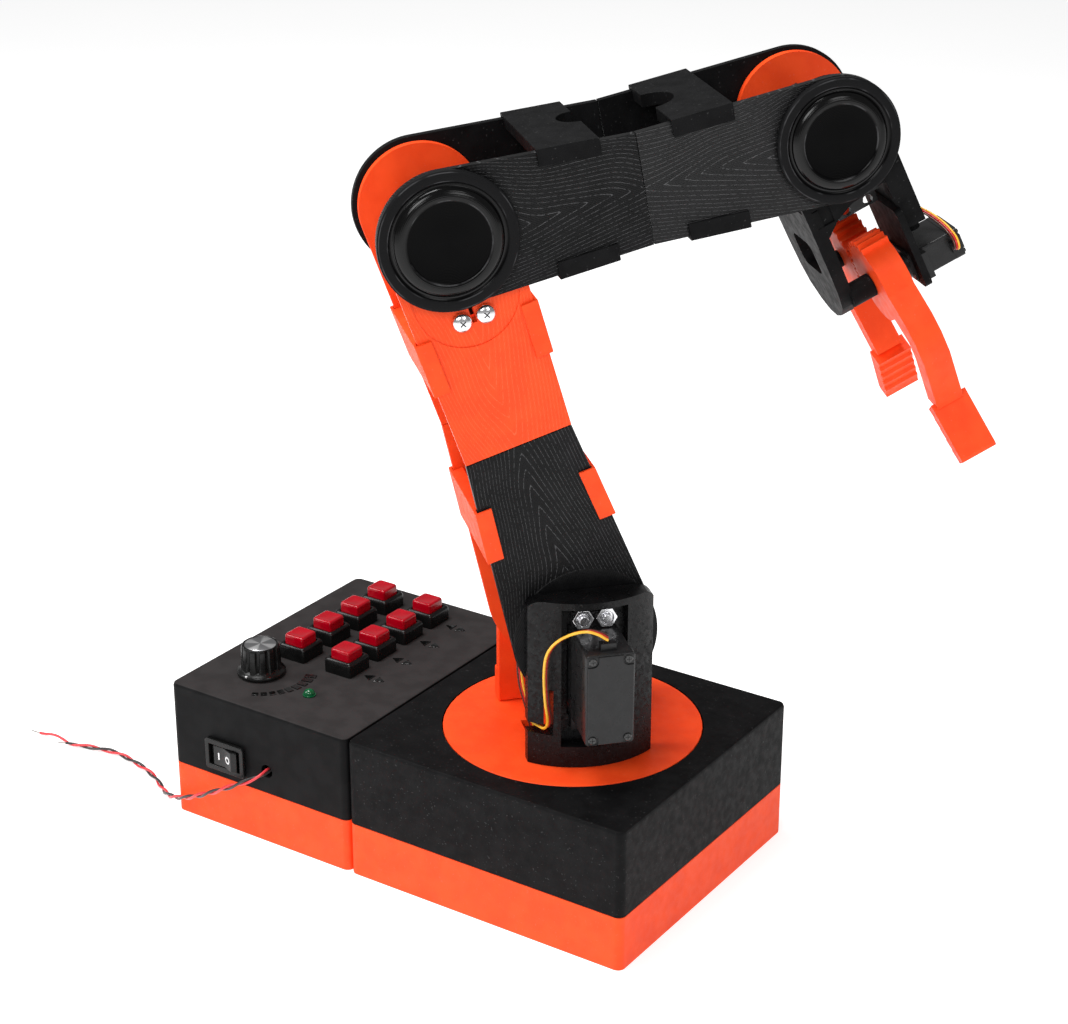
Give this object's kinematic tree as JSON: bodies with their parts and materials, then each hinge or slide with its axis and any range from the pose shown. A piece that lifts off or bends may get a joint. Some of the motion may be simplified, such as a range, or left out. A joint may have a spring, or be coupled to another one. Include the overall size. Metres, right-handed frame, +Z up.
{
  "type": "desktop robot arm",
  "caption": "Desktop robot arm: turntable on a two-box base with a button panel, two links, a wrist and a two-jaw gripper.",
  "frame": {"origin": "on the turntable's axis, at the underside of the arm box's tray, the height of the surface it stands on", "axes": "+Z up along the turntable's axis, +X along the base's long side away from the control box, -Y towards the front wall with the power switch"},
  "size_m": [0.427, 0.2402, 0.3503],
  "materials": {
    "orange_print": "printed orange plastic with fine layer lines, satin",
    "black_print": "printed black plastic with fine layer lines, satin",
    "panel_print": "printed dark grey plastic, matt",
    "servo_plastic": "moulded black servo case",
    "red_cap": "moulded red push button cap, glossy",
    "black_switch": "moulded black plastic, glossy",
    "steel": "zinc plated steel",
    "circuit_board": "green circuit board",
    "led_green": "green tinted lens",
    "servo_lead": "flat lead of three thin wires, yellow, red and brown",
    "power_wire": "two thin wires twisted together, red and black"
  },
  "bodies": {
    "base": {"arm_tray": "orange_print", "arm_cover": "black_print", "control_tray": "orange_print", "control_cover": "panel_print", "waist_servo": "servo_plastic", "control_board": "circuit_board", "potentiometer": "steel", "status_led": "led_green", "switch_body": "black_switch", "power_lead": "power_wire", "button_body_1": "black_switch", "button_body_2": "black_switch", "button_body_3": "black_switch", "button_body_4": "black_switch", "button_body_5": "black_switch", "button_body_6": "black_switch", "button_body_7": "black_switch", "button_body_8": "black_switch"},
    "turntable": {"turntable": "orange_print", "tower_bracket": "black_print", "tower_upright": "orange_print", "shoulder_servo": "servo_plastic", "shoulder_nut_left": "steel", "shoulder_nut_right": "steel", "shoulder_lead": "servo_lead", "arm_lead": "servo_lead"},
    "lower_link": {"link_near_lower": "black_print", "link_near_upper": "orange_print", "link_far_lower": "orange_print", "link_far_upper": "orange_print", "link_lower_brace": "orange_print", "link_upper_brace": "orange_print", "elbow_servo": "servo_plastic", "elbow_screw_left": "steel", "elbow_screw_right": "steel"},
    "forearm": {"forearm_near_rear": "black_print", "forearm_near_front": "black_print", "forearm_far_rear": "black_print", "forearm_far_front": "black_print", "forearm_rear_brace": "black_print", "forearm_front_brace": "black_print", "elbow_cover": "black_print", "wrist_cover": "black_print"},
    "gripper": {"wrist_far_plate": "orange_print", "gripper_frame": "black_print", "wrist_servo": "servo_plastic", "gripper_servo": "servo_plastic", "gripper_lead": "servo_lead"},
    "near_jaw": {"jaw_near": "orange_print"},
    "far_jaw": {"jaw_far": "orange_print"},
    "knob": {"speed_knob": "black_switch"},
    "rocker": {"switch_rocker": "black_switch"},
    "button_1": {"button_cap_1": "red_cap"},
    "button_2": {"button_cap_2": "red_cap"},
    "button_3": {"button_cap_3": "red_cap"},
    "button_4": {"button_cap_4": "red_cap"},
    "button_5": {"button_cap_5": "red_cap"},
    "button_6": {"button_cap_6": "red_cap"},
    "button_7": {"button_cap_7": "red_cap"},
    "button_8": {"button_cap_8": "red_cap"}
  },
  "joints": [
    {"name": "waist_turn", "type": "hinge", "parent": "base", "child": "turntable", "pos_m": [0, 0, 0.0652], "axis": [0, 0, 1], "range_deg": [-90, 90]},
    {"name": "shoulder_lean", "type": "hinge", "parent": "turntable", "child": "lower_link", "pos_m": [-0.00067, -0.00074, 0.1185], "axis": [-0.7382, 0.6746, 0], "range_deg": [-20, 45]},
    {"name": "elbow_bend", "type": "hinge", "parent": "lower_link", "child": "forearm", "pos_m": [-0.03936, -0.04308, 0.29502], "axis": [0.7382, -0.6746, 0], "range_deg": [-10, 85]},
    {"name": "wrist_bend", "type": "hinge", "parent": "forearm", "child": "gripper", "pos_m": [0.06599, 0.07222, 0.32481], "axis": [0.7382, -0.6746, 0], "range_deg": [-22, 80]},
    {"name": "near_jaw_turn", "type": "hinge", "parent": "gripper", "child": "near_jaw", "pos_m": [0.09946, 0.08142, 0.26459], "axis": [0.6063, 0.6635, 0.4384], "range_deg": [-8, 27]},
    {"name": "far_jaw_turn", "type": "hinge", "parent": "gripper", "child": "far_jaw", "pos_m": [0.07215, 0.10638, 0.26459], "axis": [0.6063, 0.6635, 0.4384], "range_deg": [-27, 8]},
    {"name": "knob_turn", "type": "hinge", "parent": "base", "child": "knob", "pos_m": [-0.1428, -0.039, 0.07], "axis": [0, 0, 1], "range_deg": [-150, 150]},
    {"name": "rocker_tilt", "type": "hinge", "parent": "base", "child": "rocker", "pos_m": [-0.1397, -0.07015, 0.0367], "axis": [0, 0, 1], "range_deg": [0, 18]},
    {"name": "button_1_press", "type": "slide", "parent": "base", "child": "button_1", "axis": [0, 0, -1], "range_m": [0, 0.002], "stiffness_N_per_m": 300, "springref_m": -0.001},
    {"name": "button_2_press", "type": "slide", "parent": "base", "child": "button_2", "axis": [0, 0, -1], "range_m": [0, 0.002], "stiffness_N_per_m": 300, "springref_m": -0.001},
    {"name": "button_3_press", "type": "slide", "parent": "base", "child": "button_3", "axis": [0, 0, -1], "range_m": [0, 0.002], "stiffness_N_per_m": 300, "springref_m": -0.001},
    {"name": "button_4_press", "type": "slide", "parent": "base", "child": "button_4", "axis": [0, 0, -1], "range_m": [0, 0.002], "stiffness_N_per_m": 300, "springref_m": -0.001},
    {"name": "button_5_press", "type": "slide", "parent": "base", "child": "button_5", "axis": [0, 0, -1], "range_m": [0, 0.002], "stiffness_N_per_m": 300, "springref_m": -0.001},
    {"name": "button_6_press", "type": "slide", "parent": "base", "child": "button_6", "axis": [0, 0, -1], "range_m": [0, 0.002], "stiffness_N_per_m": 300, "springref_m": -0.001},
    {"name": "button_7_press", "type": "slide", "parent": "base", "child": "button_7", "axis": [0, 0, -1], "range_m": [0, 0.002], "stiffness_N_per_m": 300, "springref_m": -0.001},
    {"name": "button_8_press", "type": "slide", "parent": "base", "child": "button_8", "axis": [0, 0, -1], "range_m": [0, 0.002], "stiffness_N_per_m": 300, "springref_m": -0.001}
  ],
  "couplings": [
    {"joint": "far_jaw_turn", "follows": "near_jaw_turn", "ratio": -1}
  ]
}
